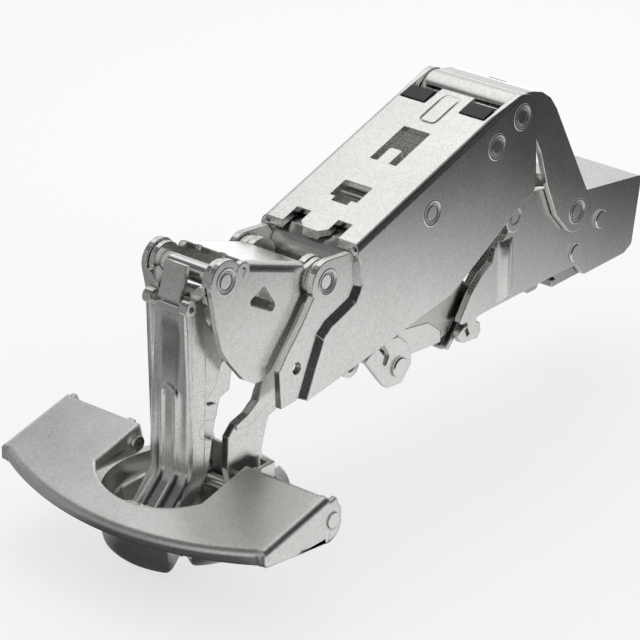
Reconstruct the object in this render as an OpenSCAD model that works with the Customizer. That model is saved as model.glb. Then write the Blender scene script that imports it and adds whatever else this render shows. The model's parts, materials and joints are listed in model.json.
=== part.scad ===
// Concealed cup hinge for a cabinet door, wide opening, with a clamp flap
// over the cup. X runs along the pivot pins, Y towards the cabinet arm,
// Z away from the cabinet side. The door stands square to the cabinet side.
// The origin lies on the arm's seat, under the rear block.

/* [Overall] */
// Outer width of the main arm
arm_w = 24; // [21:0.5:27]
// Width of the clamp flap
flap_w = 66; // [56:1:76]
// Diameter of the cup
cup_d = 35; // [34:0.5:36]
// Depth of the cup below the door face
cup_deep = 12.4; // [10.5:0.2:15]
// Reach of the clamp flap in front of its rear edge
flap_reach = 25.6; // [24:0.2:28]

/* [Sheet] */
// Thickness of the arm and channel sheet
sheet_t = 1.4; // [1:0.1:1.6]
// Thickness of the link sheet
link_t = 1.2; // [0.8:0.1:1.4]
// Thickness of the blade link
blade_t = 1.5; // [1.0:0.1:1.6]
// Thickness of the clamp flap
flap_t = 1.2; // [0.9:0.1:1.5]
// Wall of the drawn cup
cup_t = 0.9; // [0.7:0.1:1.2]
// Thickness of the cup insert
insert_t = 0.8; // [0.6:0.1:1]

/* [Pins] */
// Radius of the main pivot pins
pin_r = 2.0; // [1.6:0.1:2.4]
// Radius of the two cup pins
cup_pin_r = 1.5; // [1.2:0.1:1.8]
// Radius of the flap pivots
flap_pin_r = 1.5; // [1.2:0.1:1.8]
// Radius of the block rivets
rivet_r = 1.8; // [1.4:0.1:2.1]

/* [Fits] */
// Radial clearance of a pin in a turning part
run_gap = 0.05; // [0.01:0.01:0.1]
// Side clearance between neighbouring layers of sheet
side_gap = 0.2; // [0.1:0.05:0.4]
// Extra radius of the front link's floating eye
float_gap = 1.65; // [1.5:0.05:2]

/* [Hidden] */
// Pivot places in the side view, measured from the flap's rear edge
p_a = [105.5, 15.3];
p_b = [84.0, 42.8];
p_c = [76.0, 39.0];
p_d = [55.9, 31.7];
p_e = [26.1, 27.3];
p_f = [0.5, 35.6];
p_g = [9.2, -12.1];
p_h = [-14.0, -10.4];
p_i = [75.9, 2.8];
p_j = [107.0, 5.2];
p_k = [115.5, 9.9];
p_n = [50.5, 0.0];
p_flap = [1.4, -5.0];
p_stud = [-1.1, -3.6];
// Seat of the arm, which becomes the origin
seat_y = 115.0;
seat_z = -1.2;
// Door face and cup centre
door_z = -9.2;
cup_y = -1.0;
cup_r = cup_d / 2;
cup_bottom = door_z - cup_deep;
// Layers of sheet, half widths from the outside in
arm_o = arm_w / 2;
arm_i = arm_o - sheet_t;
rear_o = arm_i - side_gap;
rear_i = rear_o - link_t;
base_o = rear_i - side_gap;
base_i = base_o - sheet_t;
inner_o = base_i - side_gap;
inner_i = inner_o - sheet_t;
front_o = arm_o - 1.1;
front_i = front_o - sheet_t;
tri_o = front_i - 1.0;
tri_i = tri_o - link_t;
tri_boss = front_i - side_gap;
eye_o = tri_i - side_gap;
eye_i = eye_o - link_t;
blade_o = tri_i - side_gap;
blade_i = blade_o - blade_t;
low_o = blade_o - 0.3;
low_i = low_o - blade_t;
lever_o = low_i - side_gap;
lever_i = lever_o - link_t;
roll_w = inner_i - 0.6;
// Bores that pins run in
pin_bore = pin_r + run_gap;
cup_bore = cup_pin_r + run_gap;
flap_bore = flap_pin_r + run_gap;
rivet_bore = rivet_r + run_gap;
eye_r = pin_r + 2.5;
float_eye = pin_r + float_gap + 1.3;
float_cup = cup_pin_r + float_gap + 0.3;
float_cup_eye = float_cup + 1.3;
// Slope of the main arm's top and of the triangle's top
arm_tilt = 17.6;
arm_front = [34.0, 32.4];
tri_tilt = -19.7;
tri_front = [6.3, 37.5];
flap_tilt = 13;

// Moves from the measured place to the seat of the arm
module seat() {
    translate([0, -seat_y, -seat_z]) children();
}

// Outline in the side view, thickened along X from x0 by t
module side(x0, t, pts) {
    translate([x0, 0, 0])
        rotate([90, 0, 90])
            linear_extrude(height = t)
                polygon(pts);
}

// The same outline on both sides of the middle plane
module pair(x_in, t, pts) {
    side(x_in, t, pts);
    side(-x_in - t, t, pts);
}

// Round bar along X
module bar(p, r, x0, x1) {
    translate([x0, p[0], p[1]])
        rotate([0, 90, 0])
            cylinder(r = r, h = x1 - x0, $fn = 48);
}

// Round bar on both sides of the middle plane
module bar_pair(p, r, x0, x1) {
    bar(p, r, x0, x1);
    bar(p, r, -x1, -x0);
}

// Cross pin whose ends show a turned groove
module riveted_pin(p, r, half) {
    difference() {
        bar(p, r, -half, half);
        ring_groove(p, r, half);
        mirror([1, 0, 0]) ring_groove(p, r, half);
    }
}

module ring_groove(p, r, half) {
    translate([half - 0.45, p[0], p[1]])
        rotate([0, 90, 0])
            difference() {
                cylinder(r = r * 0.9, h = 0.6, $fn = 48);
                translate([0, 0, -0.1]) cylinder(r = r * 0.7, h = 0.8, $fn = 48);
            }
}

// Rivet with a raised head on each side
module headed_rivet(p, r, head_r, x_face, head_h) {
    bar(p, r, -x_face - head_h * 0.5, x_face + head_h * 0.5);
    head(p, head_r, x_face, head_h);
    mirror([1, 0, 0]) head(p, head_r, x_face, head_h);
}

module head(p, head_r, x_face, head_h) {
    translate([x_face, p[0], p[1]])
        rotate([90, 0, 90])
            rotate_extrude($fn = 48)
                polygon([[0, 0], [head_r, 0], [head_r, head_h * 0.65],
                         [head_r - head_h * 0.35, head_h], [0, head_h]]);
}

// Corner rounding of an outline
function unit(v) = v / norm(v);
function turn(a) = a > 180 ? a - 360 : (a < -180 ? a + 360 : a);
function corner(p, q, s, r, n) =
    let (u = unit(p - q), v = unit(s - q),
         c = min(0.9999, max(-0.9999, u * v)),
         ha = acos(c) / 2,
         t = min(r / tan(ha), 0.48 * min(norm(p - q), norm(s - q))),
         rr = t * tan(ha),
         m = q + unit(u + v) * (rr / sin(ha)),
         d0 = q + u * t - m,
         d1 = q + v * t - m,
         a0 = atan2(d0[1], d0[0]),
         da = turn(atan2(d1[1], d1[0]) - a0))
    ha > 86 ? [q] : [for (i = [0 : n]) m + rr * [cos(a0 + da * i / n), sin(a0 + da * i / n)]];
function soft(pts, r, n = 3) =
    let (k = len(pts))
    [for (i = [0 : k - 1]) each corner(pts[(i + k - 1) % k], pts[i], pts[(i + 1) % k], r, n)];
// Points on an arc about p
function arc(p, r, a0, a1, n = 10) =
    [for (i = [0 : n]) p + r * [cos(a0 + (a1 - a0) * i / n), sin(a0 + (a1 - a0) * i / n)]];

// Base of the hinge

module hinge_body() color([0.70, 0.70, 0.69]) seat() difference() {
    union() {
        pair(base_i, sheet_t, body_side);
        block_top();
        bead();
        mirror([1, 0, 0]) bead();
        lip();
        mirror([1, 0, 0]) lip();
        pair(base_i, sheet_t, tab_side);
        pair(base_i, sheet_t, [[71.6, 0.4], [74.3, 0.4], [74.3, 3.2], [71.6, 3.2]]);
    }
    // Small slots in the hanging tabs
    pair(base_i - 1, 4, [[70.6, 0.7], [71.3, -0.9], [72.3, -0.6], [71.5, 1.2]]);
    bar(p_a, pin_bore, -arm_w, arm_w);
    bar(p_j, rivet_bore, -arm_w, arm_w);
    bar(p_k, rivet_bore, -arm_w, arm_w);
}

body_side = soft([[68.3, 2.2], [79, 2.4], [104.5, 2.4], [107.5, 2.2], [110.4, -0.9], [124.6, -0.9],
                  [127.2, 0.3], [130, 15.1], [111.4, 17.8], [104, 18.9], [97.2, 22.7], [94.5, 23.4],
                  [88.5, 23.6], [85.8, 21.4], [83.6, 16.9], [80.0, 15.2], [79.2, 12.6],
                  [75.9, 10.9], [72.4, 7.8]], 0.8);

// Round-bottomed tab that hangs below each wall
tab_side = soft([[73.8, 1.4], [70.6, 1.4], [68.4, 0.5], [69.7, -1.8], [74.8, -2.5], [75.8, -1.2], [75.4, 0.9]], 0.6);

// Top of the rear block, folded over both walls
module block_top() {
    intersection() {
        side(-base_o, 2 * base_o, body_side);
        translate([0, 111.4, 17.8])
            rotate([-8.2, 0, 0])
                difference() {
                    translate([0, 0, -9])
                        rotate([-90, 0, 0])
                            linear_extrude(height = 22)
                                polygon(soft([[-base_o, -9], [base_o, -9], [base_o, 9], [-base_o, 9]], 1.6, 5));
                    translate([-base_i - 0.3, -1, -30]) cube([2 * base_i + 0.6, 26, 30 - sheet_t]);
                }
    }
}

// Upright bead pressed outwards
module bead() {
    intersection() {
        translate([base_o - 1.35, 83.5, 3.4]) cylinder(r = 1.9, h = 9.0, $fn = 32);
        translate([base_i + 0.3, 80, 0]) cube([6, 8, 20]);
    }
}

// Flared lobe on the wall's upper front corner
module lip() {
    difference() {
        bar([86.4, 19.8], 3.0, base_o - 0.6, base_o + 0.15);
        bar([86.2, 20.2], 1.7, base_o - 0.2, base_o + 1);
    }
}

module inner_channel() color([0.50, 0.50, 0.49]) seat() difference() {
    union() {
        pair(inner_i, sheet_t, inner_side);
        // Front edge turned inwards along the contour
        pair(strip_i, inner_i - strip_i + 0.1, inner_strip);
        // Floor on which the arm sits
        translate([-inner_o, 101.6, -1.2]) cube([2 * inner_o, 22.4, sheet_t]);
        // Tongues that hang below the walls
        pair(inner_i, sheet_t, soft([[91.3, 4.5], [91.4, 1.6], [93.3, 0.3], [96.7, 0.3], [96.9, 4.5]], 0.8));
    }
    bar(p_a, pin_bore, -arm_w, arm_w);
    bar(p_j, rivet_bore, -arm_w, arm_w);
    bar(p_k, rivet_bore, -arm_w, arm_w);
    bar(p_i, pin_bore, -arm_w, arm_w);
}

inner_side = soft([[66.3, -2.2], [69.3, 0.2], [72.4, 3.4], [75.6, 6.2], [78.7, 9.5], [81.8, 13.9],
                   [84.6, 16.2], [86.0, 16.6], [98, 19.0], [104, 17.2], [110.2, 15.4], [122, 13.6],
                   [124, -1.2], [104.6, -1.2], [100.6, 2.2], [88, 2.8], [73.2, 2.6], [67.4, -3.0]], 0.4);
inner_strip = [[66.3, -2.2], [69.3, 0.2], [72.4, 3.4], [75.6, 6.2], [78.7, 9.5], [81.8, 13.9],
               [84.6, 16.2], [85.4, 15.2], [82.8, 13.0], [79.8, 8.7], [76.5, 5.2], [73.3, 2.4],
               [70.1, -0.8], [67.2, -3.2]];
strip_i = 3.9;

// Rail that carries the front bracket
module front_rail() color([0.62, 0.62, 0.61]) seat() difference() {
    union() {
        pair(rail_o - sheet_t, sheet_t, rail_side);
        side(-rail_o, 2 * rail_o, [[52.5, 1.6], [66.0, 0.4], [66.0, -0.9], [52.5, 0.3]]);
        side(-strip_i + 0.3, 2 * strip_i - 0.6, [[64.8, 0.5], [68.0, 0.5], [68.0, -0.8], [64.8, -0.8]]);
    }
    translate([0, 60.2, -3]) cylinder(r = 2.3, h = 9, $fn = 32);
}

rail_o = 6.6;
rail_side = soft([[52.5, 0.3], [66.0, -0.9], [66.0, 1.6], [62.0, 4.8], [52.5, 6.4]], 0.5);

module front_bracket() color([0.72, 0.72, 0.71]) seat() difference() {
    union() {
        pair(base_i - 0.4, link_t, soft([[40.3, 4.9], [44.9, -1.0], [47.0, -3.4], [51.4, -3.8], [54.4, -0.9],
                                         [54.3, 1.6], [53.2, 4.2], [50.6, 6.4], [46.5, 7.2]], 0.7));
        // Web that ties the two ears, tucked under the arm
        side(-base_i + 0.4, 2 * base_i - 0.8, [[46.5, 4.4], [52.0, 3.4], [52.2, 4.5], [46.7, 5.5]]);
        // Rolled hooks at the front
        for (m = [0, 1])
            mirror([m, 0, 0]) {
                hook_roll();
                side(strip_i + 0.5, roll_w - strip_i - 0.5, [[41.6, 4.0], [47.2, 4.3], [47.0, 5.5], [41.2, 5.2]]);
            }
    }
    // Bent slot beside the rivet
    pair(base_i - 1, 3, soft([[44.2, 6.2], [46.2, 3.8], [45.6, 2.2], [46.6, 1.6], [47.7, 3.4], [47.4, 4.4], [45.6, 7.0]], 0.4));
    bar(p_n, rivet_bore, -arm_w, arm_w);
}

module hook_roll() {
    difference() {
        bar([39.6, 3.4], 2.6, strip_i + 0.5, roll_w);
        bar([39.6, 3.4], 1.4, 0, arm_w);
        translate([0, 36, 3.6]) cube([arm_w, 3.4, 4]);
    }
}

module bracket_rivets() color([0.62, 0.62, 0.61]) seat() {
    headed_rivet(p_n, rivet_r, rivet_r + 0.3, base_i - 0.4 + link_t + 0.02, 0.7);
}

module block_rivets() color([0.66, 0.66, 0.65]) seat() {
    headed_rivet(p_j, rivet_r, rivet_r + 0.2, base_o + 0.02, 0.6);
}

module lever_pin() color([0.66, 0.66, 0.65]) seat() {
    headed_rivet(p_k, rivet_r, rivet_r + 0.2, base_o + 0.02, 0.6);
}

// Catch that lets the arm off its plate, turning on the upper block rivet
module release_lever() color([0.50, 0.50, 0.49]) seat() difference() {
    union() {
        pair(inner_i - side_gap - link_t, link_t,
             soft([[112.4, 9.2], [113.6, 12.9], [118.0, 13.2], [125.2, 8.6], [128.6, 3.2], [127.6, 2.2],
                   [122.4, 5.0], [117.4, 6.6], [114.4, 3.0], [112.0, 3.0], [112.6, 5.2]], 0.6));
        // Thumb plate across the rear
        side(-inner_i + side_gap, 2 * (inner_i - side_gap), [[125.0, 8.5], [128.4, 3.3], [127.5, 2.6], [124.3, 7.4]]);
    }
    bar(p_k, rivet_bore, -arm_w, arm_w);
}

// Leg spring that holds the catch closed, coiled on the same rivet
module hook_spring() color([0.42, 0.42, 0.41]) seat() {
    for (i = [-2 : 2])
        translate([i * 1.15, p_k[0], p_k[1]])
            rotate([0, 90, 0])
                rotate_extrude($fn = 32)
                    translate([rivet_r + 0.75, 0]) circle(r = 0.5, $fn = 16);
    side(-2.7, 0.9, [[112.7, 9.2], [113.6, 9.2], [113.2, 5.6], [112.3, 5.6]]);
    side(1.8, 0.9, [[109.7, 0.4], [110.7, 0.4], [113.9, 7.9], [113.0, 8.3]]);
}

// Side adjusting screw in the front floor strip
module side_screw() color([0.60, 0.60, 0.60]) seat() {
    difference() {
        union() {
            translate([0, 60.2, -1.6]) cylinder(r = 2.25, h = 3.2, $fn = 32);
            translate([0, 60.2, 1.3]) cylinder(r = 3.2, h = 0.8, $fn = 40);
        }
        translate([0, 60.2, 1.5])
            for (a = [0, 90])
                rotate([0, 0, a]) translate([-0.45, -2.4, 0]) cube([0.9, 4.8, 3]);
    }
}

module rear_pins() color([0.74, 0.74, 0.73]) seat() riveted_pin(p_a, pin_r, rear_o);

// Rear link, a bent channel whose web rolls over the upper pivot

module rear_link() color([0.60, 0.60, 0.59]) seat() difference() {
    union() {
        pair(rear_i, link_t, rear_side);
        rear_web();
        // Roll over the pivot
        difference() {
            bar(p_b, eye_r - 0.1, -rear_o, rear_o);
            bar(p_b, eye_r - 0.1 - link_t, -rear_i, rear_i);
            side(-rear_i, 2 * rear_i, [[78, 36], [92, 36], [92, 43.0], [78, 46.0]]);
        }
    }
    bar(p_a, pin_bore, -arm_w, arm_w);
    bar(p_b, pin_bore, -arm_w, arm_w);
    // Slot in the web
    translate([-2.2, 91.0, 40]) cube([4.4, 1.6, 12]);
}

rear_back = [[103.2, 29.2], [97.4, 40.2], [95.2, 43.2], [92.4, 45.2], [89.4, 46.2]];
rear_side = concat(arc(p_a, eye_r, -130, 22, 10), rear_back, arc(p_b, eye_r - 0.1, 62, 290, 14),
                   [[90.2, 36.6], [92.6, 32.0], [95.0, 24.4], [98.4, 16.6]]);

module rear_web() {
    side(-rear_o, 2 * rear_o, concat([[99.8, 35.65], [97.4, 40.2], [95.2, 43.2], [92.4, 45.2], [89.4, 46.2]], [[84.0, 47.2], [84.0, 46.0], [89.2, 45.0], [91.6, 44.1],
                                                 [94.2, 42.3], [96.3, 39.6], [98.6, 35.2]]));
}

// Main arm

module main_arm() color([0.75, 0.75, 0.74]) seat() difference() {
    union() {
        intersection() {
            side(-arm_o, 2 * arm_o, arm_side);
            arm_section();
        }
        pair(front_i, sheet_t, arm_nose);
        joggle();
        mirror([1, 0, 0]) joggle();
        // Rolled front corners of the top
        translate([arm_i + 0.15, 34.4, 30.9]) sphere(r = 1.2, $fn = 24);
        translate([-arm_i - 0.15, 34.4, 30.9]) sphere(r = 1.2, $fn = 24);
    }
    bar(p_b, pin_bore, -arm_w, arm_w);
    bar(p_c, pin_bore, -arm_w, arm_w);
    bar(p_d, pin_bore, -arm_w, arm_w);
    bar(p_e, pin_bore, -arm_w, arm_w);
    bar([17.2, 12.8], 1.2, -arm_w, arm_w);
    on_top() top_cuts();
}

// Side outline of the arm's walls
arm_side = concat([[18.9, 5.7], [40.7, 8.8], [54.1, 11.1], [62.5, 12.4], [81.7, 22.8], [88.2, 25.4],
                   [88.9, 27.0], [88.6, 41.0]],
                  arc(p_b, 4.7, -15, 107, 10),
                  [[73.3, 44.9], [34.0, 32.4], [33.6, 30.5], [34.6, 27.6], [34.9, 24.0], [33.7, 21.3],
                   [27.0, 18.5], [24.1, 17.2], [21.2, 11.3]]);
// Outline of the nose plates, set inwards
arm_nose = concat(arc(p_e, 4.4, 80, 205, 10),
                  [[18.7, 21.0], [14.4, 16.5], [12.3, 13.8], [12.7, 6.0], [17.0, 6.2], [18.0, 6.9],
                   [20.9, 12.2], [23.8, 17.9], [26.4, 19.4], [33.0, 22.0], [34.4, 24.2], [34.2, 29.0],
                   [32.8, 31.0]]);
joggle_line = [[17.6, 6.6], [20.2, 12.2], [23.0, 17.9], [25.3, 19.6], [32.2, 21.9], [33.7, 24.0], [33.5, 28.8]];

// Sloping step between the nose plate and the wall
module joggle() {
    for (i = [0 : len(joggle_line) - 2])
        ramp(joggle_line[i], joggle_line[i + 1]);
}

module ramp(p, q) {
    u = unit(q - p);
    translate([0, p[0], p[1]])
        rotate([atan2(-u[0], u[1]), 0, 0])
            translate([0, 0, -0.25])
                linear_extrude(height = norm(q - p) + 0.5)
                    polygon([[front_i, -0.1], [front_o, -0.1], [arm_o, 1.3], [arm_o, 1.9], [arm_i, 1.9], [front_i, 0.6]]);
}

// Channel section swept along the top's slope
module arm_section() {
    translate([0, arm_front[0], arm_front[1]])
        rotate([arm_tilt, 0, 0])
            translate([0, 80, 0])
                rotate([90, 0, 0])
                    linear_extrude(height = 130)
                        difference() {
                            polygon(soft([[-arm_o, 0], [arm_o, 0], [arm_o, -60], [-arm_o, -60]], 1.3, 5));
                            translate([-arm_i, -70]) square([2 * arm_i, 70 - sheet_t]);
                        }
}

// Frame on the arm's top, Y rearwards from its front edge
module on_top() {
    translate([0, arm_front[0], arm_front[1]])
        rotate([arm_tilt, 0, 0])
            children();
}

module top_cuts() {
    // Notches of the castellated front edge
    for (s = [-1, 1])
        prism([[s * 3.4, -1], [s * 3.4, 1.2], [s * 3.4, 4.4], [s * 6.8, 4.4], [s * 6.8, -1]]);
    // Chamfers of the middle tooth
    for (s = [-1, 1])
        prism([[s * 1.9, -1], [s * 1.9, 0], [s * 3.5, 1.4], [s * 3.5, -1]]);
    // Front window
    prism([[-3.3, 10.2], [-1.9, 10.2], [-1.9, 8.8], [1.9, 8.8], [1.9, 10.2], [3.3, 10.2], [3.3, 15.0], [-3.3, 15.0]]);
    // Rear window with a tongue
    difference() {
        prism([[-3.2, 22.6], [3.2, 22.6], [3.2, 33.6], [-3.2, 33.6]]);
        prism(soft([[-1.5, 20], [1.5, 20], [1.5, 27.0], [-1.5, 27.0]], 0.6));
    }
    // Pressed oblong panel
    translate([0, 41, 0])
        linear_extrude(height = 2)
            difference() {
                polygon(soft([[-2.1, -4.7], [2.1, -4.7], [2.1, 4.7], [-2.1, 4.7]], 1.2));
            }
    translate([0, 41, -0.25])
        linear_extrude(height = 2)
            difference() {
                polygon(soft([[-2.1, -4.7], [2.1, -4.7], [2.1, 4.7], [-2.1, 4.7]], 1.2));
                polygon(soft([[-1.7, -4.3], [1.7, -4.3], [1.7, 4.3], [-1.7, 4.3]], 0.9));
            }
    // Rear corners, where the pads sit, and the end of the middle tongue
    prism([[4.2, 41.4], [arm_i - 0.1, 41.4], [arm_i - 0.1, 60], [-arm_i + 0.1, 60], [-arm_i + 0.1, 41.4],
           [-4.2, 41.4], [-4.0, 47.0], [4.0, 47.0]]);
}

// Cut through the arm's top sheet
module prism(pts) {
    translate([0, 0, -4])
        linear_extrude(height = 6)
            polygon(pts);
}

// Smooth curved sheet inside the arm's front mouth
module arm_liner() color([0.66, 0.66, 0.65]) seat() {
    side(-front_i + 0.05, 2 * front_i - 0.1, liner_side);
}

liner_mid = [42.5, 23.3];
liner_side = concat(arc(liner_mid, 10.2, 205, 128, 12), [[38.6, 31.6], [44.0, 33.3], [44.3, 32.4], [38.9, 30.6]],
                    arc(liner_mid, 9.2, 125, 205, 12));

module arm_pads() color([0.16, 0.16, 0.17]) seat() on_top() {
    pad();
    mirror([1, 0, 0]) pad();
}

// Plastic pad in a rear corner of the arm's top
module pad() {
    translate([4.5, 41.6, -sheet_t - 0.9]) cube([arm_i - 4.9, 3.4, sheet_t + 1.1]);
    translate([4.5, 41.6, -sheet_t - 2.3]) cube([arm_i - 4.9, 1.6, 1.6]);
}

module arm_rear_rivets() color([0.74, 0.74, 0.73]) seat() riveted_pin(p_b, pin_r, arm_o);
module stop_pin() color([0.74, 0.74, 0.73]) seat() riveted_pin(p_c, pin_r, arm_o);
module link_pin() color([0.74, 0.74, 0.73]) seat() riveted_pin(p_d, pin_r, arm_o);
module arm_front_pin() color([0.74, 0.74, 0.73]) seat() riveted_pin(p_e, pin_r, front_o - 0.3);

// Hidden front link between the inner channel and the arm

module front_link() color([0.58, 0.58, 0.57]) seat() difference() {
    union() {
        pair(strip_i - side_gap - link_t, link_t, link_outline);
        // Web that joins the two plates
        side(-strip_i + side_gap + 0.3, 2 * (strip_i - side_gap) - 0.6, link_web);
    }
    bar(p_i, pin_bore, -arm_w, arm_w);
    bar(p_d, pin_r + float_gap, -arm_w, arm_w);
    // The fork's open end
    side(-arm_w, 2 * arm_w, [p_d + link_dir * 0.9 + link_off * 9, p_d + link_dir * 12 + link_off * 9,
                             p_d + link_dir * 12 - link_off * 9, p_d + link_dir * 0.9 - link_off * 9]);
}

link_dir = unit(p_d - p_i);
link_off = [-link_dir[1], link_dir[0]];
link_web = [p_i + link_dir * 7 - link_off * 2.2, p_i + link_dir * 26 - link_off * 2.2,
            p_i + link_dir * 26 - link_off * 3.2, p_i + link_dir * 7 - link_off * 3.2];
link_a = atan2(link_dir[1], link_dir[0]);
link_outline = concat(arc(p_i, 3.6, link_a + 115, link_a + 275, 10), [p_i + link_dir * 12 - link_off * 3.6],
                      arc(p_d, float_eye, link_a - 110, link_a + 125, 16), [p_i + link_dir * 26 + link_off * 1.2]);

module front_link_pin() color([0.74, 0.74, 0.73]) seat() bar(p_i, pin_r, -inner_o, inner_o);

// Triangular link

module triangular_link() color([0.76, 0.76, 0.75]) seat() difference() {
    union() {
        intersection() {
            side(-tri_o, 2 * tri_o, tri_side);
            tri_section();
        }
        // Plates around the front eyes
        pair(tri_i, link_t, tri_eye);
        pair(tri_i, link_t, tri_rear);
        // Raised eye at the rear pivot
        bar_pair(p_e, 3.8, tri_i + 0.3, tri_boss);
        // J-shaped lug on the top's front edge
        lug();
    }
    bar(p_e, pin_bore, -arm_w, arm_w);
    bar(p_f, pin_bore, -arm_w, arm_w);
    pair(tri_i - 1, 4, soft([[6.2, 29.1], [11.0, 31.3], [14.0, 26.6], [13.2, 25.2]], 0.7));
    // Notches along the top's front edge
    translate([0, tri_front[0], tri_front[1]])
        rotate([tri_tilt, 0, 0]) {
            translate([1.6, -1, -3]) cube([1.5, 2.0, 6]);
            translate([-4.0, -1, -3]) cube([1.2, 1.8, 6]);
        }
}

tri_side = concat([[6.3, 37.5], [6.3, 33.0], [0.2, 31.0], [-2.6, 30.5], [-2.1, 26.9], [-0.8, 22.0], [1.4, 18.6], [5.1, 14.1], [8.2, 12.2], [10.6, 12.1],
                   [13.0, 13.4], [16.7, 17.6], [21.6, 23.6], [22.6, 25.5], [22.6, 31.7]]);
tri_rear = concat([[20.6, 22.45], [21.6, 23.6]], arc(p_e, 4.0, -62, 110, 12), [[22.8, 30.6], [20.6, 29.6]]);
tri_eye = concat(arc(p_f, 4.1, 60, 195, 10), [[-2.6, 30.5], [-2.2, 27.5], [7.4, 29.0], [7.4, 35.2], [4.6, 37.0]]);

// Channel section of the triangular link, swept along its top
module tri_section() {
    translate([0, tri_front[0], tri_front[1]])
        rotate([tri_tilt, 0, 0])
            translate([0, 40, 0])
                rotate([90, 0, 0])
                    linear_extrude(height = 80)
                        difference() {
                            polygon(soft([[-tri_o, 0], [tri_o, 0], [tri_o, -60], [-tri_o, -60]], 1.8, 6));
                            translate([-tri_i, -70]) square([2 * tri_i, 70 - link_t]);
                        }
}

module lug() {
    translate([tri_i + 0.05, 5.2, 36.2])
        rotate([0, 90, 0])
            difference() {
                cylinder(r = 1.7, h = link_t, $fn = 32);
                translate([0, 0, -1]) cylinder(r = 0.7, h = 4, $fn = 24);
                translate([0, -4, -1]) cube([5, 4, 4]);
            }
}

module top_pin() color([0.74, 0.74, 0.73]) seat() riveted_pin(p_f, pin_r, tri_o);

// Front lever

module front_lever() color([0.75, 0.75, 0.74]) seat() difference() {
    union() {
        // Walls
        pair(lever_i, link_t, lever_side);
        // Web with its forward bend towards the cup pivot
        side(-lever_o + 0.7, 2 * lever_o - 1.4, lever_web);
        for (s = [-1, 1])
            round_edge(s);
        // Arms set outwards to the top pivot
        arms();
        mirror([1, 0, 0]) arms();
        // Ribs pressed into the web
        for (x = [-1.7, 1.7])
            rib(x);
        // Tongue that leans back from the top of the web
        side(-2.6, 5.2, [[-6.2, 30.6], [-4.6, 34.8], [-3.6, 38.4], [-2.6, 38.1], [-3.6, 34.4], [-5.0, 30.4]]);
        // Small rolled knuckles at the top corners
        bar_pair([-5.4, 31.2], 1.5, lever_o - 1.6, lever_o + 0.3);
        // Roll around the cup pivot
        bar(p_h, cup_pin_r + 1.2, -lever_o + 0.4, lever_o - 0.4);
    }
    bar(p_f, pin_bore, -arm_w, arm_w);
    bar(p_h, cup_bore, -arm_w, arm_w);
    bar([-5.4, 31.2], 0.6, -arm_w, arm_w);
    bar([-0.4, 31.3], 0.9, -arm_w, arm_w);
}

lever_side = soft([[-6.2, 31.6], [-4.6, 32.8], [1.9, 22.3], [2.9, 17.9], [1.1, 13.5], [-1.7, 11.1], [-1.2, 10.2],
                   [1.6, 9.8], [1.1, 6.7], [-2.0, 7.3], [-3.5, 6.4], [-3.5, 4.2], [-0.1, 2.7], [-1.3, -3.1],
                   [-5.2, -9.0], [-10.4, -14.0], [-12.6, -13.6], [-10.6, -10.5], [-6.8, -6.5], [-6.4, 0]], 0.7);
lever_web = [[-4.3, 31.2], [-5.5, 31.2], [-6.1, 14], [-6.6, 0], [-6.9, -6.5], [-10.8, -10.6], [-13.2, -12.7],
             [-12.3, -12.0], [-9.9, -9.9], [-5.6, -5.9], [-5.4, 0], [-4.9, 14]];

// Outer bend between web and wall
module round_edge(s) {
    translate([s * (lever_o - 1.1), -5.3, 0])
        intersection() {
            translate([0, 0, -6.4]) cylinder(r = 1.15, h = 37.4, $fn = 32);
            translate([s > 0 ? 0 : -2, -2, -10]) cube([2, 4, 60]);
        }
}

module rib(x) {
    translate([x, -6.35, 0])
        rotate([1.2, 0, 0]) {
            translate([0, 0.25, -6.2]) cylinder(r = 0.62, h = 19.6, $fn = 20);
            translate([0, 0.25, 13.4]) sphere(r = 0.62, $fn = 20);
        }
}

module arms() {
    // Outer eye plate
    side(eye_i, link_t, concat(arc(p_f, 3.7, -40, 210, 14), [[-3.6, 33.6], [-3.0, 31.8], [-1.2, 31.4]]));
    // Sloping part between wall and eye plate
    translate([0, -4.2, 30.2])
        rotate([-28, 0, 0])
            translate([0, 0, 0])
                rotate([0, 0, 0])
                    linear_extrude(height = 3.6)
                        polygon([[lever_i, 0], [lever_o, 0], [lever_o, 2.6], [lever_i, 2.6]]);
    translate([0, -4.2, 33.2])
        rotate([90, 0, 0])
            translate([0, 0, -3.0])
                linear_extrude(height = 3.0)
                    polygon([[lever_i, -1.0], [lever_o, -1.0], [eye_o, 0.8], [eye_o, 2.2], [eye_i, 2.2], [lever_i, 0.2]]);
}

// Pin that ties the lever's arms below the top pivot
module tie_pin() color([0.72, 0.72, 0.71]) seat() bar([-0.4, 31.3], 0.85, -lever_i, lever_i);

// Blade link

module blade_link() color([0.75, 0.75, 0.74]) seat() difference() {
    union() {
        pair(blade_i, blade_t, blade_top);
        pair(low_i, blade_t, blade_low);
        // Band that joins the two blades behind the triangular link
        side(-blade_o + 0.2, 2 * blade_o - 0.4, [[24.6, 19.8], [19.6, 14.2], [18.8, 14.9], [23.8, 20.6]]);
    }
    bar(p_e, pin_bore, -arm_w, arm_w);
    bar(p_g, float_cup, -arm_w, arm_w);
}

blade_top = concat(arc(p_e, 4.2, -28, 178, 14),
                   [[20.6, 22.6], [13.2, 14.0], [11.6, 10.6], [10.7, 7.4], [7.8, 5.6], [4.5, 4.6], [4.5, 3.6],
                    [9, 3.4], [14.0, 6.0], [16.4, 8.2], [17.6, 10.8], [24.2, 18.0]]);
blade_low = concat([[15.6, 10.4], [11.4, 9.2], [10.5, 7.2], [7.8, 5.4], [4.5, 4.6], [2.5, 2.7], [2.1, -3.8],
                    [3.4, -9.0]],
                   arc(p_g, float_cup_eye, 180, 370, 14),
                   [[11.7, -3.4], [12.9, 0.7], [13.8, 2.9], [16.4, 3.6], [17.6, 10.2]]);

// Cup

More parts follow.
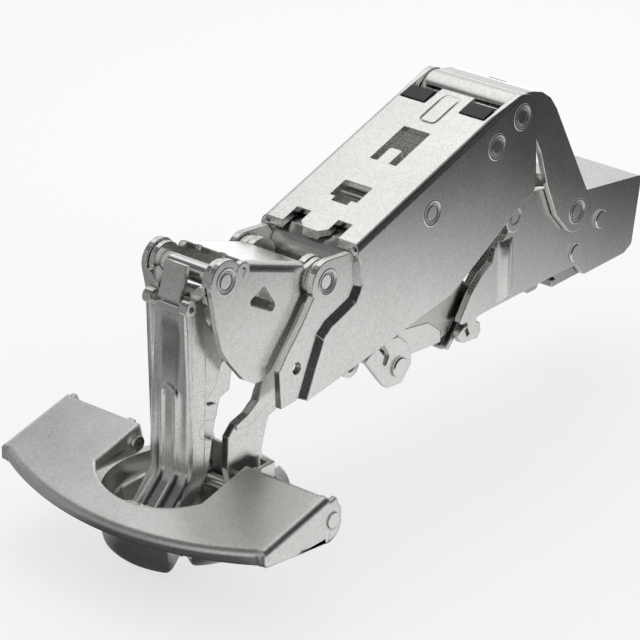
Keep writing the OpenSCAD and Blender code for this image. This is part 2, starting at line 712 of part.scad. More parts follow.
module cup() color([0.70, 0.70, 0.69]) seat() difference() {
    union() {
        translate([0, cup_y, 0]) difference() {
            union() {
                cup_shell(cup_r, cup_bottom, 4.0, door_z + 0.6);
                translate([0, 0, door_z]) cylinder(r = cup_r + 1.3, h = 0.8, $fn = 96);
            }
            cup_shell(cup_r - cup_t, cup_bottom + cup_t, 3.2, door_z + 2.0);
        }
        // Wings that lie on the door
        difference() {
            wings();
            translate([0, cup_y, door_z - 1]) cylinder(r = cup_r - cup_t, h = 6, $fn = 96);
        }
        // Ears that carry the flap pivots
        for (s = [-1, 1])
            side(s > 0 ? ear_i : -ear_i - link_t, link_t,
                 concat([[7.6, door_z], [6.6, door_z + 2.4]], arc(p_flap, 2.9, 20, 160, 8), [[-4.2, door_z + 2.4], [-5.4, door_z]]));
    }
    bar(p_flap, flap_bore, -50, 50);
    // Pockets in which the ends of the lever's cup pin show
    for (s = [-1, 1])
        translate([s * (low_o + 2.5) - 1.8, -24, door_z - 6.6]) cube([3.6, 12, 5.6]);
    // Reliefs for the blades at the rear
    for (s = [-1, 1])
        translate([s * (low_o + low_i) / 2 - blade_t / 2 - 0.4, 8, door_z - 7.2]) cube([blade_t + 0.8, 16, 10.6]);
}

ear_i = flap_w / 2 - flap_t - side_gap - link_t;

// Round drawn shell, open at the top
module cup_shell(r, z0, rc, z1) {
    rotate_extrude($fn = 96)
        polygon(concat([[0, z0]], [for (i = [0 : 8]) [r - rc + rc * sin(i * 11.25), z0 + rc - rc * cos(i * 11.25)]],
                       [[r, z1], [0, z1]]));
}

module wings() {
    translate([0, 0, door_z])
        linear_extrude(height = 1.0)
            polygon(soft([[-ear_i - link_t, -8.5], [-19.5, -14.5], [19.5, -14.5], [ear_i + link_t, -8.5],
                          [ear_i + link_t, 4.2], [16, 4.6], [12, 12.4], [-12, 12.4], [-16, 4.6], [-ear_i - link_t, 4.2]], 1.5));
}

// Folded box inside the cup that carries both cup pins
module cup_insert() color([0.62, 0.62, 0.61]) seat() difference() {
    union() {
        // Floor
        translate([-box_o + 0.1, -11.5, box_z]) cube([2 * box_o - 0.2, 22.6, insert_t]);
        // Side walls
        for (s = [-1, 1])
            side(s > 0 ? box_o - insert_t : -box_o, insert_t,
                 soft([[-9.0, box_z], [10.8, box_z], [10.8, -4.6], [5.2, -4.6], [3.8, -8.4],
                       [-9.0, -8.4]], 0.5));
        // Rear wall
        translate([-box_o, 10.8, box_z]) cube([2 * box_o, insert_t, -4.6 - box_z]);
        // Ears of the lever's pivot
        for (s = [-1, 1])
            side(s > 0 ? low_i + 0.6 : -low_i - 0.6 - insert_t, insert_t,
                 concat([[-6.0, box_z], [-6.0, -16.0]], arc(p_h, cup_pin_r + 0.7, 30, 180, 8),
                        [[p_h[0] - cup_pin_r - 0.5, -14], [-12.0, box_z]]));
        // Ribs in the side floor, running front to rear
        for (x = [-9.0, -7.9, 7.9, 9.0])
            translate([x - 0.3, -9, box_z + insert_t - 0.1]) cube([0.6, 18, 0.5]);
    }
    bar(p_h, cup_bore, -arm_w, arm_w);
    bar(p_g, cup_bore, -arm_w, arm_w);
    // Slots for the blades in the rear wall
    for (s = [-1, 1])
        translate([s * (low_o + low_i) / 2 - blade_t / 2 - 0.5, 9.6, -17.6]) cube([blade_t + 1.0, 4, 16]);
}

box_o = 10.2;
box_z = cup_bottom + cup_t + 1.8;

module lever_cup_pin() color([0.74, 0.74, 0.73]) seat() bar(p_h, cup_pin_r, -7.9, 7.9);
module blade_cup_pin() color([0.74, 0.74, 0.73]) seat() bar(p_g, cup_pin_r, -box_o, box_o);

// Wire of the cup clamp, two legs across the cup's rear
module clamp_wire() color([0.80, 0.80, 0.79]) seat() {
    bar([6.7, -7.2], 0.7, -box_o + insert_t + 0.1, -blade_o - 0.6);
    bar([6.7, -7.2], 0.7, blade_o + 0.6, box_o - insert_t - 0.1);
}

module flap_pivots() color([0.72, 0.72, 0.71]) seat() {
    bar_pair(p_flap, flap_pin_r, ear_i - 1.2, flap_w / 2 + 0.25);
    bar_pair(p_flap, flap_pin_r + 0.9, ear_i - 1.2, ear_i - 0.15);
}

// Clamp flap

module flap() color([0.74, 0.74, 0.73]) seat() difference() {
    union() {
        rotate([flap_tilt, 0, 0]) flap_plate();
        // Outer flanges
        for (s = [-1, 1])
            side(s > 0 ? flap_w / 2 - flap_t + 0.1 : -flap_w / 2 + 0.04, flap_t - 0.14,
                 concat([[2.4, -0.7], [-17.4, -4.6], [-18.1, -7.6], [-10.6, -8.7], [-0.8, -9.0]],
                        arc(p_flap, 3.2, -70, 60, 6)));
        // Inner flanges along the mouth
        for (s = [-1, 1])
            side(s > 0 ? mouth + 0.05 : -mouth - 0.05 - flap_t, flap_t,
                 soft([[-12.6, -3.6], [-13.9, -3.8], [-12.2, -5.9], [-0.4, -5.9], [0.9, -3.5], [0.1, 0.0], [-1.5, -0.4]], 0.5));
    }
    bar(p_flap, flap_bore, -50, -flap_w / 2 + 5);
    bar(p_flap, flap_bore, flap_w / 2 - 5, 50);
    bar(p_stud, 0.95, -mouth - 3, mouth + 3);
}

mouth = 13.3;
front_r = 70.8;
mouth_r = 17.1;

// Flap plate in its own plane, Y forwards is negative
module flap_plate() {
    translate([0, 0, -flap_t])
        linear_extrude(height = flap_t)
            polygon(concat(flap_half(1), flap_half(-1)));
    // Rolled front rim
    translate([0, front_r - flap_reach, 0])
        rotate([0, 0, -90 - rim_a])
            rotate_extrude(angle = 2 * rim_a, $fn = 180)
                polygon([[front_r, -3.4], [front_r, -1.0], [front_r - 0.3, -0.3], [front_r - 1.0, 0],
                         [front_r - 1.6, 0], [front_r - 1.6, -flap_t], [front_r - flap_t, -1.6], [front_r - flap_t, -3.4]]);
    // Bent side edges and front corners
    for (s = [-1, 1]) {
        translate([0, 0.3, 0])
            rotate([90, 0, 0])
                linear_extrude(height = side_end + 0.3)
                    polygon([for (q = edge_bend) [s * (flap_w / 2 - q[0]), q[1]]]);
        translate([s * (flap_w / 2 - flap_t), -side_end, 0])
            rotate_extrude($fn = 40)
                polygon([[0, 0], [0.5, 0], [0.85, -0.2], [flap_t - 0.08, -0.8], [flap_t - 0.08, -3.4], [0, -3.4]]);
    }
    // Small step lugs on the rear edge
    for (s = [-1, 1])
        translate([s * 15.7 - 0.8, -0.3, -flap_t]) cube([1.6, 0.9, flap_t]);
}

edge_bend = [[1.8, 0], [1.0, 0], [0.5, -0.15], [0.15, -0.5], [0, -1.0], [0, -2.2], [1.2, -2.2], [1.8, -1.2]];
rim_a = asin((flap_w / 2 - flap_t) / front_r);
side_end = flap_reach - front_r + front_r * cos(rim_a) - flap_t * 0.6;

// Right half of the flap's outline, mirrored by s
function flap_half(s) =
    let (pts = concat([[mouth, 0], [flap_w / 2 - flap_t, 0]],
                      [for (i = [0 : 8]) let (a = rim_a * (1 - i / 8)) [(front_r - 1.2) * sin(a),
                       -((front_r - 1.2) * cos(a) - (front_r - flap_reach))]]),
         cut = [for (i = [0 : 10]) let (a = mouth_a * i / 10) [mouth_r * sin(a), -(1.8 + mouth_r * cos(a))]])
    s > 0 ? concat(pts, []) : [for (i = [len(pts) - 1 : -1 : 0]) [-pts[i][0], pts[i][1]],
                               for (i = [10 : -1 : 0]) [-cut[i][0], cut[i][1]],
                               for (i = [1 : 10]) cut[i]];
mouth_a = asin(mouth / mouth_r);

// Hollow studs in the flap's inner flanges
module flap_studs() color([0.68, 0.68, 0.67]) seat() {
    stud();
    mirror([1, 0, 0]) stud();
}

module stud() {
    difference() {
        union() {
            bar(p_stud, 0.9, mouth - 0.5, mouth + flap_t + 0.4);
            bar(p_stud, 1.5, mouth - 0.75, mouth - 0.02);
        }
        bar(p_stud, 0.5, mouth - 2, mouth);
    }
}

hinge_body();
inner_channel();
front_rail();
front_bracket();
bracket_rivets();
block_rivets();
hook_spring();
release_lever();
lever_pin();
side_screw();
rear_pins();
rear_link();
main_arm();
arm_liner();
arm_pads();
arm_rear_rivets();
arm_front_pin();
stop_pin();
link_pin();
front_link();
front_link_pin();
triangular_link();
top_pin();
tie_pin();
front_lever();
blade_link();
cup();
cup_insert();
lever_cup_pin();
blade_cup_pin();
clamp_wire();
flap_pivots();
flap();
flap_studs();
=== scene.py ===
import json
import math

import bmesh
import bpy
from mathutils import Matrix, Vector


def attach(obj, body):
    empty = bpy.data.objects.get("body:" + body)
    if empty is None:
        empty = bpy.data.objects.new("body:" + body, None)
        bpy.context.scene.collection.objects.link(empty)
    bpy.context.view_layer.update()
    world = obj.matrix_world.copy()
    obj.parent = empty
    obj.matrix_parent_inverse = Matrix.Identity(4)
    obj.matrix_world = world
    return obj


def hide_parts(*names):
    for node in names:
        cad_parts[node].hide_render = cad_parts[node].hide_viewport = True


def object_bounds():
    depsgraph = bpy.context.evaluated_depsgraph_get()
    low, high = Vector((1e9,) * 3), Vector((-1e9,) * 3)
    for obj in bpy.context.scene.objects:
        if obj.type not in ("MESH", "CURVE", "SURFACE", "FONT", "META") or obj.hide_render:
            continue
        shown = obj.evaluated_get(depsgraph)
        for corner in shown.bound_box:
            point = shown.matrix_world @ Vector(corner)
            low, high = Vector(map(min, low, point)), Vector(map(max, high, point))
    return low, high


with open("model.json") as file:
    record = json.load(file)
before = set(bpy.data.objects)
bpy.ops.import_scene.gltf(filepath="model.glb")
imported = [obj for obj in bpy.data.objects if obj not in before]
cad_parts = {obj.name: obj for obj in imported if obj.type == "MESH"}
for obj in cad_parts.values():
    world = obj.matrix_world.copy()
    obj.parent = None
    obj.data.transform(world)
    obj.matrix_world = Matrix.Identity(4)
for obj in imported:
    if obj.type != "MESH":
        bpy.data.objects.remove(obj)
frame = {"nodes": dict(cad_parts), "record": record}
cad_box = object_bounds()
nodes = frame["nodes"]
scene = bpy.context.scene

# Camera of the photograph, in the row frame
CAM_PLACE = (0.3914, -0.5421, 0.2990)
CAM_RIGHT = (0.7642, 0.6448, 0.0003)
CAM_FORWARD = (-0.5835, 0.6916, -0.4255)
FOCAL_PX = 3500.0
FRAME_PX = 640.0
SENSOR_MM = 36.0


def make_camera():
    data = bpy.data.cameras.new("camera")
    data.sensor_width = SENSOR_MM
    data.lens = FOCAL_PX / FRAME_PX * SENSOR_MM
    data.clip_start = 0.05
    data.clip_end = 20.0
    cam = bpy.data.objects.new("camera", data)
    scene.collection.objects.link(cam)
    right = Vector(CAM_RIGHT).normalized()
    back = -Vector(CAM_FORWARD).normalized()
    up = back.cross(right).normalized()
    right = up.cross(back).normalized()
    turn = Matrix((right, up, back)).transposed()
    cam.matrix_world = Matrix.Translation(Vector(CAM_PLACE)) @ turn.to_4x4()
    scene.camera = cam


make_camera()


class Tree:
    """Small helper that adds and links shader nodes."""

    def __init__(self, tree):
        self.tree = tree
        self.tree.nodes.clear()

    def add(self, kind, **values):
        node = self.tree.nodes.new(kind)
        for key, value in values.items():
            setattr(node, key, value)
        return node

    def join(self, out, into):
        self.tree.links.new(out, into)

    def math(self, how, a, b=None, clamp=False):
        node = self.add("ShaderNodeMath", operation=how, use_clamp=clamp)
        for i, v in enumerate((a, b)):
            if v is None:
                continue
            if isinstance(v, (int, float)):
                node.inputs[i].default_value = v
            else:
                self.join(v, node.inputs[i])
        return node.outputs[0]

    def noise(self, where, scale, detail=2.0, rough=0.5, distort=0.0):
        node = self.add("ShaderNodeTexNoise")
        self.join(where, node.inputs["Vector"])
        node.inputs["Scale"].default_value = scale
        node.inputs["Detail"].default_value = detail
        node.inputs["Roughness"].default_value = rough
        node.inputs["Distortion"].default_value = distort
        return node.outputs["Fac"]

    def spread(self, value, lo, hi, to_lo, to_hi, smooth=False):
        node = self.add("ShaderNodeMapRange")
        if smooth:
            node.interpolation_type = "SMOOTHSTEP"
        self.join(value, node.inputs["Value"])
        node.inputs["From Min"].default_value = lo
        node.inputs["From Max"].default_value = hi
        node.inputs["To Min"].default_value = to_lo
        node.inputs["To Max"].default_value = to_hi
        return node.outputs["Result"]

    def deeper(self, ray, value, level):
        """The value for what mirrors the room at once, and a plain level inside the hollows."""
        first = self.math("LESS_THAN", ray.outputs["Glossy Depth"], 1.5)
        return self.math("ADD", self.math("MULTIPLY", value, first),
                         self.math("MULTIPLY", self.math("SUBTRACT", 1.0, first), level))

    def blend(self, fac, a, b):
        node = self.add("ShaderNodeMix", data_type="RGBA")
        self.join(fac, node.inputs["Factor"])
        for socket, v in ((node.inputs["A"], a), (node.inputs["B"], b)):
            if isinstance(v, tuple):
                socket.default_value = (*v, 1.0)
            else:
                self.join(v, socket)
        return node.outputs["Result"]


def new_material(name):
    mat = bpy.data.materials.new(name)
    mat.use_nodes = True
    return mat, Tree(mat.node_tree)


# Noise scales per metre, heights and reaches in metres
FINE_GRAIN, PRESSED_GRAIN, CLOUDS = 4200.0, 900.0, 60.0
MOULD_GRAIN, MOULD_CLOUDS = 3200.0, 260.0
METAL_BUMP, PLASTIC_BUMP = 0.00002, 0.00004
# The crevice constants darken the colour in the gaps between parts: painted shade
CREVICE_REACH, CREVICE_SHADE_SHARE = 0.0022, 0.12
# The worn constants brighten the colour at the edges: partly rubbed wear, partly painted highlight
WEAR_AND_HIGHLIGHT_SHARE, WEAR_AND_HIGHLIGHT_GAIN = 0.5, 1.10


def metal(name, tint, shade, rough, grain, edge_mm=0.35, speck=0.45, crevice_shade=0.45):
    """Plated sheet: fine pressed grain, soft mottling, bright edges that are partly rubbed wear and partly
    painted highlight, and painted shade in the crevices.
    """
    mat, t = new_material(name)
    where = t.add("ShaderNodeTexCoord").outputs["Object"]
    fine = t.noise(where, FINE_GRAIN, 2.0, 0.7)
    mid = t.noise(where, PRESSED_GRAIN, 3.0, 0.55)
    broad = t.noise(where, CLOUDS, 3.0, 0.5, 0.3)
    # Edges: where the rounded normal leaves the flat one
    round_off = t.add("ShaderNodeBevel", samples=6)
    round_off.inputs["Radius"].default_value = edge_mm / 1000.0
    flat = t.add("ShaderNodeNewGeometry").outputs["Normal"]
    dot = t.add("ShaderNodeVectorMath", operation="DOT_PRODUCT")
    t.join(round_off.outputs["Normal"], dot.inputs[0])
    t.join(flat, dot.inputs[1])
    edge = t.spread(dot.outputs["Value"], 0.995, 0.90, 0.0, 1.0)
    # Brighter colour along the rounded edges: partly rubbed wear, partly painted highlight
    wear_and_highlight = t.math("MULTIPLY", edge, t.spread(mid, 0.35, 0.62, 0.15, 0.8), clamp=True)
    cloud = t.math("ADD", t.spread(broad, 0.3, 0.7, -0.16, 0.16), t.spread(mid, 0.3, 0.7, -0.12, 0.12))
    lift = t.math("ADD", cloud, t.spread(fine, 0.2, 0.8, -speck, speck))
    base = t.blend(t.math("ADD", lift, 0.5, clamp=True), shade, tint)
    base = t.blend(t.math("MULTIPLY", wear_and_highlight, WEAR_AND_HIGHLIGHT_SHARE), base, tuple(min(1.0, c * WEAR_AND_HIGHLIGHT_GAIN) for c in tint))
    # Painted shade in the gaps between the sheets: ambient occlusion darkens the colour there
    occlusion = t.add("ShaderNodeAmbientOcclusion", samples=5)
    occlusion.inputs["Distance"].default_value = CREVICE_REACH
    painted_crevice_shade = t.spread(occlusion.outputs["AO"], 0.15, 0.85, crevice_shade, 0.0)
    base = t.blend(painted_crevice_shade, base, tuple(c * CREVICE_SHADE_SHARE for c in shade))
    shader = t.add("ShaderNodeBsdfPrincipled")
    t.join(base, shader.inputs["Base Color"])
    shader.inputs["Metallic"].default_value = 1.0
    gloss = t.math("ADD", t.spread(broad, 0.3, 0.7, rough * 0.90, rough * 1.10),
                   t.spread(fine, 0.3, 0.7, -0.03, 0.03))
    t.join(t.math("SUBTRACT", gloss, t.math("MULTIPLY", wear_and_highlight, 0.05), clamp=True), shader.inputs["Roughness"])
    bump = t.add("ShaderNodeBump")
    bump.inputs["Strength"].default_value = grain
    bump.inputs["Distance"].default_value = METAL_BUMP
    height = t.math("ADD", t.math("MULTIPLY", fine, 0.6), t.math("MULTIPLY", mid, 0.9))
    t.join(height, bump.inputs["Height"])
    t.join(round_off.outputs["Normal"], bump.inputs["Normal"])
    t.join(bump.outputs["Normal"], shader.inputs["Normal"])
    out = t.add("ShaderNodeOutputMaterial")
    t.join(shader.outputs["BSDF"], out.inputs["Surface"])
    return mat


def plastic(name, colour, light):
    """Moulded black plastic with a fine spark-eroded grain."""
    mat, t = new_material(name)
    where = t.add("ShaderNodeTexCoord").outputs["Object"]
    grain = t.noise(where, MOULD_GRAIN, 2.0, 0.6)
    broad = t.noise(where, MOULD_CLOUDS, 2.0)
    shader = t.add("ShaderNodeBsdfPrincipled")
    t.join(t.blend(t.spread(broad, 0.3, 0.7, 0.0, 1.0), colour, light), shader.inputs["Base Color"])
    t.join(t.spread(grain, 0.3, 0.7, 0.42, 0.58), shader.inputs["Roughness"])
    bump = t.add("ShaderNodeBump")
    bump.inputs["Strength"].default_value = 0.35
    bump.inputs["Distance"].default_value = PLASTIC_BUMP
    t.join(grain, bump.inputs["Height"])
    t.join(bump.outputs["Normal"], shader.inputs["Normal"])
    out = t.add("ShaderNodeOutputMaterial")
    t.join(shader.outputs["BSDF"], out.inputs["Surface"])
    return mat


PLATED, PLATED_SHADE = (0.80, 0.795, 0.78), (0.54, 0.535, 0.52)
LOOKS = {
    "nickel_sheet": metal("nickel_sheet", PLATED, PLATED_SHADE, 0.24, 0.35, 0.35, 0.8),
    "flap_sheet": metal("flap_sheet", PLATED, PLATED_SHADE, 0.32, 0.3, 0.9, 0.75),
    # Lighter copy of the plated sheet for the cup's insert, with less crevice darkening: painted light that
    # lifts the insert out of its shade
    "cup_lightened_sheet": metal("cup_lightened_sheet", PLATED, (0.66, 0.655, 0.64), 0.34, 0.35, 0.5, 0.45, 0.25),
    "dark_sheet": metal("dark_sheet", (0.60, 0.595, 0.58), (0.44, 0.435, 0.425), 0.28, 0.4),
    "pin_steel": metal("pin_steel", (0.74, 0.735, 0.725), (0.60, 0.595, 0.585), 0.18, 0.2, 0.15, 0.3),
    "spring_wire": metal("spring_wire", (0.56, 0.555, 0.545), (0.42, 0.415, 0.41), 0.22, 0.2, 0.12, 0.3),
    "black_plastic": plastic("black_plastic", (0.018, 0.018, 0.020), (0.030, 0.030, 0.033)),
}
# Nodes whose look differs from their slot's. The liner's darker sheet is painted shade, for the shade under
# the arm's top
OWN_LOOK = {"flap": "flap_sheet", "cup_insert": "cup_lightened_sheet", "arm_liner": "dark_sheet"}
slots = {part["node"]: part["material_slot"] for part in frame["record"]["subparts"]}
for name, slot in slots.items():
    materials = nodes[name].data.materials
    materials.clear()
    materials.append(LOOKS[OWN_LOOK.get(name, slot)])

# Lengths below are in millimetres, in the frame in which the hinge was measured:
# x along the pivots, y towards the rear block, z up. SEAT_Y and SEAT_Z are where the row
# frame's origin lies in it.
MM = 0.001
SEAT_Y, SEAT_Z = 115.0, -1.2
SHARP_ANGLE = math.radians(28)
CUT_SNAP = 1e-7
bodies = frame["record"]["behaviour"]["bodies"]
body_of = {node: body for body, members in bodies.items() for node in members}


def place(x, y, z):
    """From a measured point in millimetres to the row frame in metres."""
    return Vector((x * MM, (y - SEAT_Y) * MM, (z - SEAT_Z) * MM))


def skin(work, rings, closed=False):
    """Join rings of points, each the same length, into one surface with flat ends."""
    rows = [[work.verts.new(place(*q)) for q in ring] for ring in rings]
    n = len(rows[0])
    pairs = list(zip(rows, rows[1:])) + ([(rows[-1], rows[0])] if closed else [])
    for a, b in pairs:
        for i in range(n):
            face = work.faces.new((a[i], a[(i + 1) % n], b[(i + 1) % n], b[i]))
            face.smooth = True
    if not closed:
        work.faces.new(rows[0][::-1])
        work.faces.new(rows[-1])


def cut(work, point, normal):
    everything = work.verts[:] + work.edges[:] + work.faces[:]
    bmesh.ops.bisect_plane(work, geom=everything, dist=CUT_SNAP, plane_co=point, plane_no=normal)


def prism(work, x0, x1, outline):
    skin(work, [[(x, y, z) for y, z in outline] for x in (x0, x1)])


def new_piece(name, body, slot, build):
    """Make a piece of its own, which rides on a body."""
    data = bpy.data.meshes.new(name)
    work = bmesh.new()
    build(work)
    bmesh.ops.recalc_face_normals(work, faces=work.faces)
    work.to_mesh(data)
    work.free()
    data.set_sharp_from_angle(angle=SHARP_ANGLE)
    piece = bpy.data.objects.new(name, data)
    scene.collection.objects.link(piece)
    data.materials.append(LOOKS[slot])
    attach(piece, body)


def reshape(name, levels, move, extra=None, keep_above=None):
    """Replace a node by a copy of its mesh, cut at some levels of z and moved point by point.

    extra adds surfaces to the copy. Faces below keep_above are left out."""
    data = nodes[name].data.copy()
    data.name = name + "_drawn"
    work = bmesh.new()
    work.from_mesh(data)
    for z in levels:
        cut(work, (0, 0, (z - SEAT_Z) * MM), (0, 0, 1))
    for v in work.verts:
        v.co = place(*move(v.co.x / MM, v.co.y / MM + SEAT_Y, v.co.z / MM + SEAT_Z))
    if keep_above is not None:
        low = [f for f in work.faces if f.calc_center_median().z < (keep_above - SEAT_Z) * MM]
        bmesh.ops.delete(work, geom=low, context="FACES")
    work.to_mesh(data)
    work.free()
    if extra:
        more = bmesh.new()
        extra(more)
        bmesh.ops.recalc_face_normals(more, faces=more.faces)
        more.from_mesh(data)
        more.to_mesh(data)
        more.free()
        data.set_sharp_from_angle(angle=SHARP_ANGLE)
    piece = bpy.data.objects.new(name + "_drawn", data)
    scene.collection.objects.link(piece)
    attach(piece, body_of[name])
    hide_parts(name)


def smooth(v, lo, hi):
    """Soft step from 0 at lo to 1 at hi."""
    k = min(1.0, max(0.0, (v - lo) / (hi - lo)))
    return k * k * (3 - 2 * k)


# Drawn cup: a pressed shell with a deep lobe at the front, two hollows beside it and
# shallower sides. It takes the place of the solid's cylinder below CUP_CUT.
CUP_R, CUP_Y, CUP_CUT, CUP_WALL = 17.5, -1.0, -9.9, 0.8
CUP_OVERLAP = 0.3
LOBE_Z, LOBE_FILLET = -19.6, 5.4
SIDE_LIFT, CENTRE_LIFT = 1.8, 0.9
HOLLOW_LIFT, HOLLOW_FALL, HOLLOW_DEPTH, HOLLOW_TOP, HOLLOW_RAMP = 2.9, 1.1, 2.3, -10.3, 1.4
# Degrees from the front over which the floor rises and the wall steps in and out
SIDE_TURN, FLOOR_IN, FLOOR_OUT, WALL_IN, WALL_OUT = (10, 60), (24, 35), (37, 47), (28, 34), (38, 44)
FLOOR_RAMP, FLOOR_HOLE = 0.45, 0.01
BLADE_X, BLADE_HALF, BLADE_START = 6.07, 1.25, 6.5
AROUND, STRAIGHT_STEPS, BEND_STEPS, FLOOR_STEPS = 240, 7, 12, 8


def cup_angle(x, y):
    """Degrees from the front of the cup, to either side."""
    return math.degrees(math.atan2(abs(x), CUP_Y - y))


def side_lift(a):
    """How much shallower the cup is at the sides and the rear than at its front lobe."""
    return SIDE_LIFT * smooth(a, *SIDE_TURN)


def hollow_lift(a):
    """What the floor's edge rises on top of side_lift, at and behind the hollows."""
    return HOLLOW_LIFT * smooth(a, *FLOOR_IN) - HOLLOW_FALL * smooth(a, *FLOOR_OUT) - side_lift(a)


def cup_hollow(a, z):
    """How far the wall stands in at the hollows."""
    across = smooth(a, *WALL_IN) * (1 - smooth(a, *WALL_OUT))
    return HOLLOW_DEPTH * across * smooth(HOLLOW_TOP - z, 0, HOLLOW_RAMP)


def cup_point(a, step, wall):
    """Radius and height of a step from the wall's top to the middle of the floor."""
    low = LOBE_Z + side_lift(a) + hollow_lift(a) + wall
    fillet = LOBE_FILLET - wall
    if step < STRAIGHT_STEPS:
        top = CUP_CUT + CUP_OVERLAP
        z = top + (low + fillet - top) * step / STRAIGHT_STEPS
        return CUP_R - wall - cup_hollow(a, z), z
    if step <= STRAIGHT_STEPS + BEND_STEPS:
        t = math.pi / 2 * (step - STRAIGHT_STEPS) / BEND_STEPS
        z = low + fillet * (1 - math.sin(t))
        return CUP_R - wall - fillet * (1 - math.cos(t)) - cup_hollow(a, z), z
    inner = CUP_R - CUP_WALL - LOBE_FILLET - cup_hollow(a, low)
    r = inner * (1 - (step - STRAIGHT_STEPS - BEND_STEPS) / FLOOR_STEPS) + FLOOR_HOLE
    out = smooth(r / inner, 0, 1)
    z = (LOBE_Z + wall + side_lift(a) * out + CENTRE_LIFT * (1 - out)
         + hollow_lift(a) * smooth(r / inner, FLOOR_RAMP, 1))
    return r, z


def cup_shell(work):
    turns = [2 * math.pi * i / AROUND for i in range(AROUND)]
    directions = [(math.sin(t), -math.cos(t)) for t in turns]
    rings = []
    for wall in (0.0, CUP_WALL):
        half = []
        for step in range(STRAIGHT_STEPS + BEND_STEPS + 1 + FLOOR_STEPS):
            ring = []
            for sx, sy in directions:
                r, z = cup_point(cup_angle(sx, sy + CUP_Y), step, wall)
                ring.append((sx * r, sy * r + CUP_Y, z))
            half.append(ring)
        rings += half if wall == 0.0 else half[::-1]
    skin(work, rings, True)
    # Openings for the blades in the rear wall, cut clean along their sides
    for side in (-1, 1):
        for edge in (-1, 1):
            cut(work, place(side * BLADE_X + edge * BLADE_HALF, 0, 0), (1, 0, 0))
    cut(work, place(0, BLADE_START, 0), (0, 1, 0))
    blocked = []
    for f in work.faces:
        middle = f.calc_center_median()
        if abs(abs(middle.x) / MM - BLADE_X) < BLADE_HALF and middle.y / MM + SEAT_Y > BLADE_START:
            blocked.append(f)
    bmesh.ops.delete(work, geom=blocked, context="FACES")


# Insert: its floor follows the drawn cup's, which is higher than the solid's
INSERT_TOP, CUP_FLOOR, FLOOR_RISE = -11.7, -21.6, 1.8
INSERT_LIFT, LIFT_FROM, LIFT_RAMP = 2.2, -12, 4


def insert_drawn(x, y, z):
    k = min(1.0, max(0.0, (INSERT_TOP - z) / (INSERT_TOP - CUP_FLOOR)))
    return x, y, z + FLOOR_RISE * k + INSERT_LIFT * smooth(LIFT_FROM - z, 0, LIFT_RAMP)


EAR_X, EAR_REAR, EAR_TOP, EAR_LEAN = 29, 3.2, -5, 0.35
WING_X, WING_LOW = 20, -8.8


def wings_drawn(x, y, z):
    """Keep the ears' feet and the wings behind the flap's flanges."""
    if abs(x) > EAR_X:
        y = min(y, EAR_REAR - EAR_LEAN * max(0.0, EAR_TOP - z))
    if abs(x) > WING_X and z < WING_LOW:
        z = WING_LOW
    return x, y, z


reshape("cup", [CUP_CUT, -8.0, -7.0, -6.0], wings_drawn, None, CUP_CUT)
new_piece("cup_shell", body_of["cup"], "pin_steel", cup_shell)
reshape("cup_insert", [INSERT_TOP, -13, -15, -17], insert_drawn)

# Ringed ends of the lever's pin, in the hollows: steps of x and radius
PIN_Y, PIN_Z, PIN_SIDES = -15.2, -12.2, 24
PIN_PROFILE = [(5.8, 1.0), (10.2, 1.0), (10.2, 0.8), (10.45, 0.8), (10.45, 1.0), (11.2, 1.0), (11.4, 0.8)]


def pin_ends(work):
    turns = [2 * math.pi * i / PIN_SIDES for i in range(PIN_SIDES)]
    for side in (-1, 1):
        skin(work, [[(side * x, PIN_Y + r * math.cos(t), PIN_Z + r * math.sin(t)) for t in turns]
                    for x, r in PIN_PROFILE])


new_piece("cup_pin_ends", body_of["cup"], "pin_steel", pin_ends)

# Flap: its side flanges end in a true round, and its rim is rolled shorter in the middle
FLANGE_X, TILT = 31.7, math.radians(13)
FLAP_EYE, EYE_CLEAR = (1.4, -5.0), 2.4
FLANGE_END, FLANGE_R, FLANGE_REAR = (0.2, -5.6), 3.5, 3.65
FLANGE_FRONT, FLANGE_LOW, FLANGE_SLOPE = -17.2, -7.1, 0.12
PLATE_LOW, ROUND_FROM, CORNER_LOW = -1.0, -0.6, -3.6
EDGE_REAR, EDGE_LOW = -0.5, -6.4
MOUTH_R, RIM_BACK = 12, -6
RIM_TOP, RIM_DEPTH, RIM_MIDDLE, RIM_MORE = -1.65, 1.75, 2.5, 0.6


def flange_drawn(y, z):
    """Round the flange's rear end, and straighten its lower edge and its front."""
    if z < PLATE_LOW and math.hypot(y - FLAP_EYE[0], z - FLAP_EYE[1]) > EYE_CLEAR:
        if z < FLANGE_END[1] and y > ROUND_FROM:
            dy, dz = y - FLANGE_END[0], z - FLANGE_END[1]
            k = FLANGE_R / math.hypot(dy, dz)
            y, z = FLANGE_END[0] + dy * k, FLANGE_END[1] + dz * k
        elif y > 0:
            y = min(y, FLANGE_REAR)
    if y < EDGE_REAR and z < EDGE_LOW:
        z = max(z, FLANGE_LOW - FLANGE_SLOPE * (y - FLANGE_FRONT))
    if z < CORNER_LOW:
        y = max(y, FLANGE_FRONT)
    return y, z


def flap_drawn(x, y, z):
    if abs(x) > FLANGE_X:
        return x, *flange_drawn(y, z)
    # Along and across the tilted plate
    c, s = math.cos(TILT), math.sin(TILT)
    ahead, up = y * c + z * s, z * c - y * s
    if up < RIM_TOP and math.hypot(x, ahead) > MOUTH_R and ahead < RIM_BACK:
        deep = RIM_MIDDLE + RIM_MORE * (x / FLANGE_X) ** 2
        up = RIM_TOP + (up - RIM_TOP) * (deep + RIM_TOP) / RIM_DEPTH
    return x, ahead * c - up * s, ahead * s + up * c


FLAP_LEVELS = [-4, -4.5, -5, -5.4, -5.7, -6, -6.4, -6.8, -7.2, -7.6, -8, -8.3, -8.6, -8.8, -9]
reshape("flap", FLAP_LEVELS, flap_drawn)

